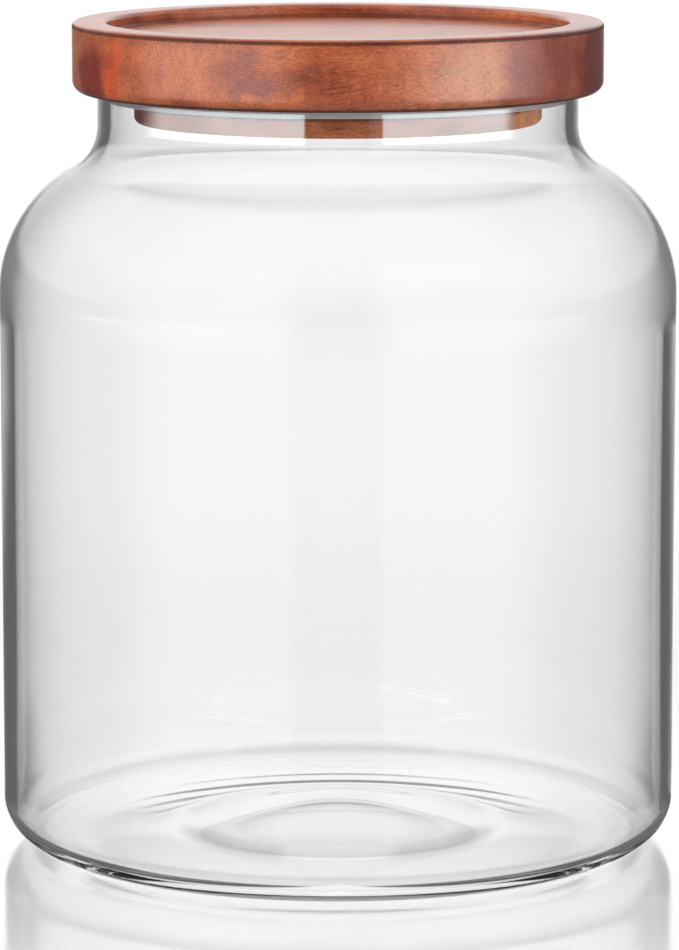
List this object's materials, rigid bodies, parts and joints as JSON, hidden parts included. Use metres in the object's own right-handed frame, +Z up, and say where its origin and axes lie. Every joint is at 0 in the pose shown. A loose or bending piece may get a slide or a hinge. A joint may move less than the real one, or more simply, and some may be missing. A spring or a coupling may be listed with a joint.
{
  "type": "lidded glass canister",
  "caption": "Clear glass storage canister with a rounded shoulder, a short wide neck and a recessed wooden push-in lid with a silicone seal.",
  "frame": {"origin": "middle of the base, on the table", "axes": "+Z up along the jar's axis, which every piece is turned about; +X runs along the grain of the wooden lid"},
  "size_m": [0.175, 0.175, 0.2134],
  "materials": {
    "clear_glass": "clear, fire polished",
    "silicone": "soft, milky translucent silicone",
    "plug_wood": "turned acacia, satin lacquer",
    "cap_wood": "turned acacia, satin lacquer"
  },
  "bodies": {
    "jar": {"glass_jar": "clear_glass"},
    "lid": {"lid_cap": "cap_wood", "lid_plug": "plug_wood", "seal_ring": "silicone"}
  },
  "joints": [
    {"name": "lid_lift", "type": "slide", "parent": "jar", "child": "lid", "axis": [0, 0, 1], "range_m": [0, 0.1]}
  ]
}
